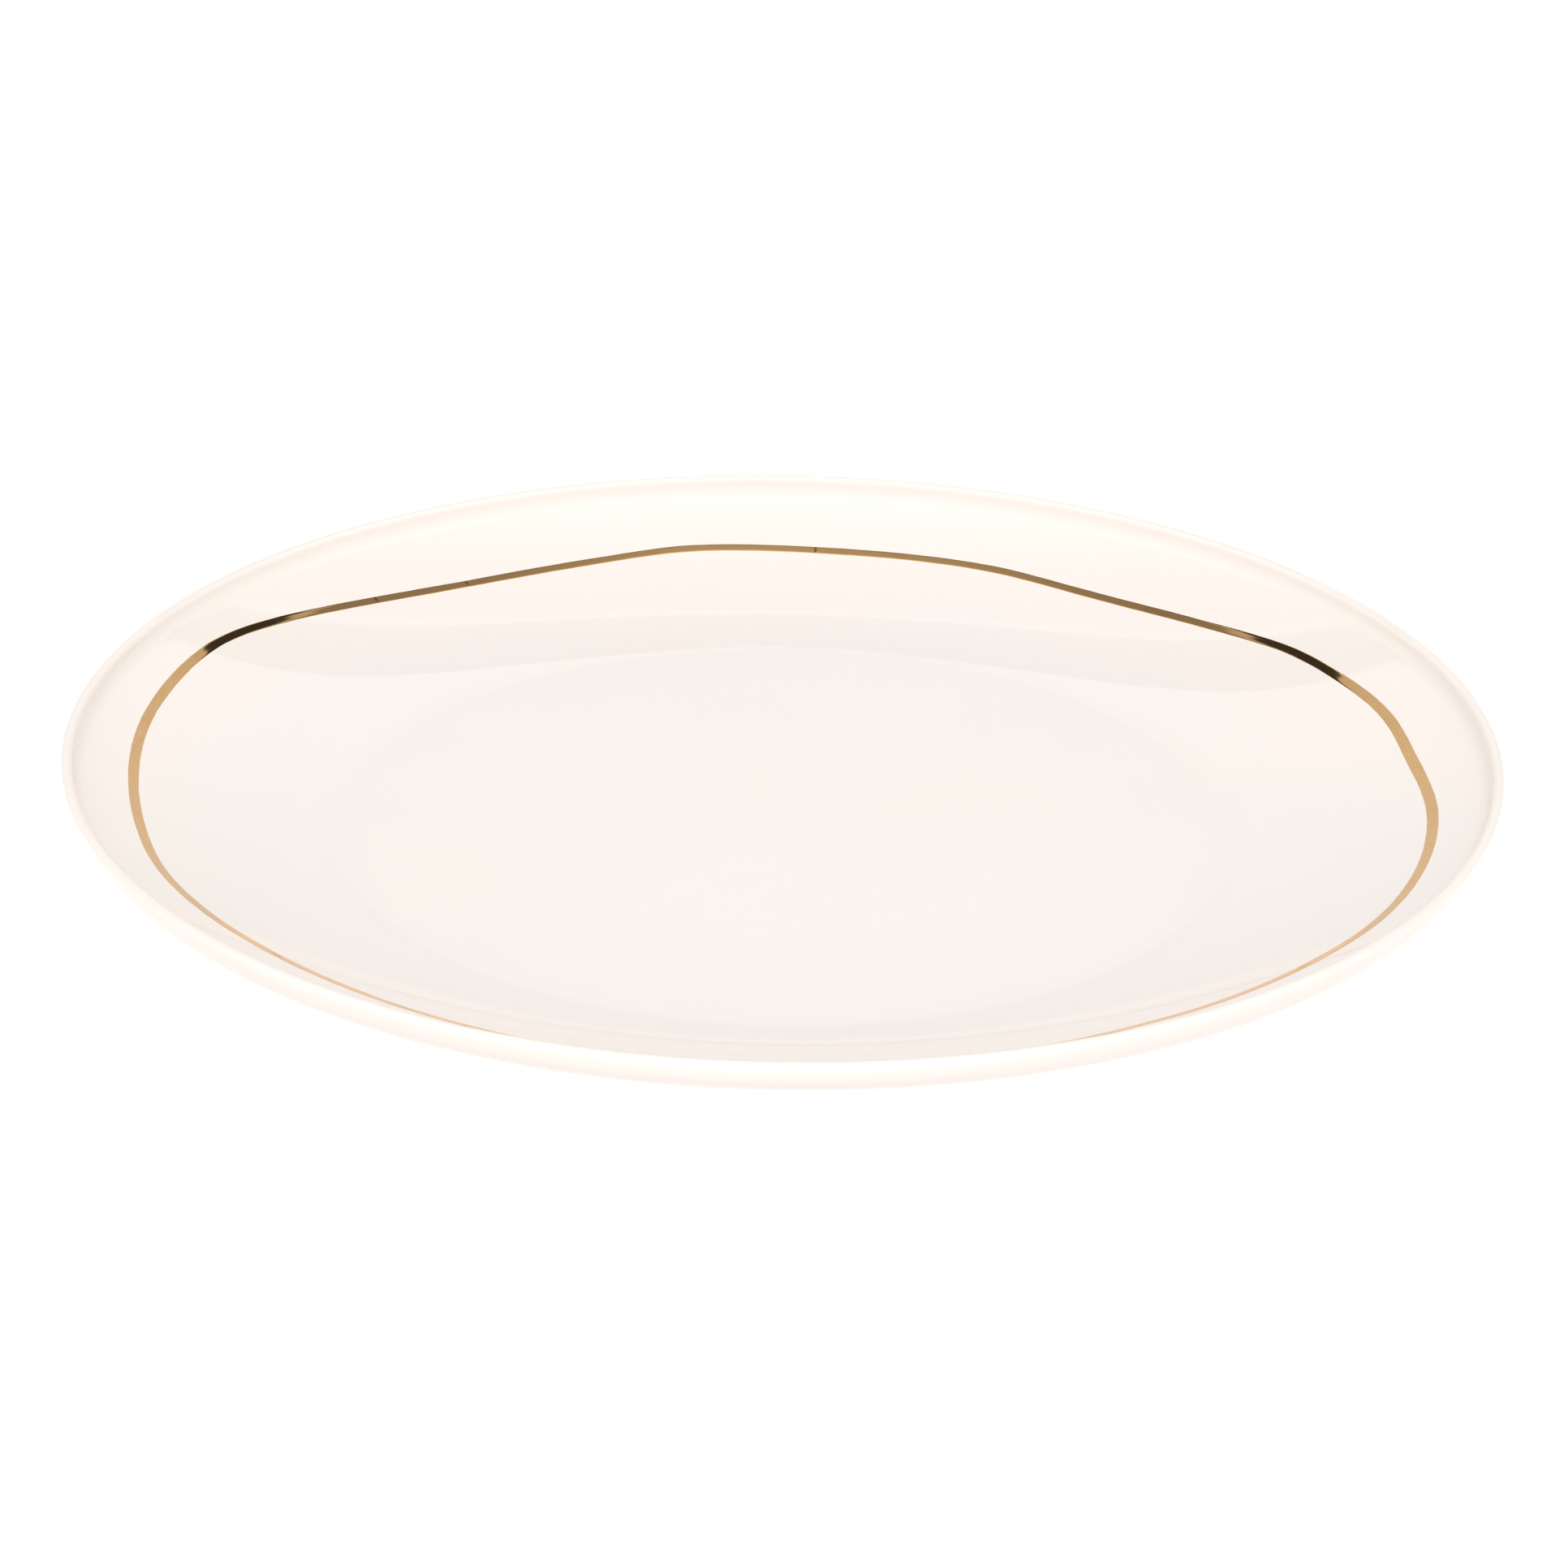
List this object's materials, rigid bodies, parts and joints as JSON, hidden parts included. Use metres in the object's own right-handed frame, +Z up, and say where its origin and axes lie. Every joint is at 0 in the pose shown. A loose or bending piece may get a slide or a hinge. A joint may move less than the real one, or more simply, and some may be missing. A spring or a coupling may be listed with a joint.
{
  "type": "china serving platter",
  "caption": "Round shallow china serving platter with a flat well, sloping wall, small upturned rim, turned foot ring and a thin gold line around the wall.",
  "frame": {"origin": "centre of the circle of the foot ring, on the plane of its dry foot face, which is the table", "axes": "+Z up out of the dish along the platter's axis; +X and +Y lie in the table plane. The gold line wanders, so X and Y are told apart only by it: it comes nearest to the rim (about 12 mm) 154 degrees counter-clockwise from +X seen from above"},
  "size_m": [0.33, 0.33, 0.03],
  "materials": {
    "bisque": "matte fired porcelain, fine and dry",
    "glaze": "glossy warm white glaze",
    "back_glaze": "glossy warm white glaze, slightly uneven",
    "gold": "fired bright gold"
  },
  "bodies": {
    "root": {"porcelain_body": "bisque", "face_glaze": "glaze", "back_glaze": "back_glaze", "foot_well_glaze": "back_glaze", "gold_line": "gold"}
  },
  "joints": []
}
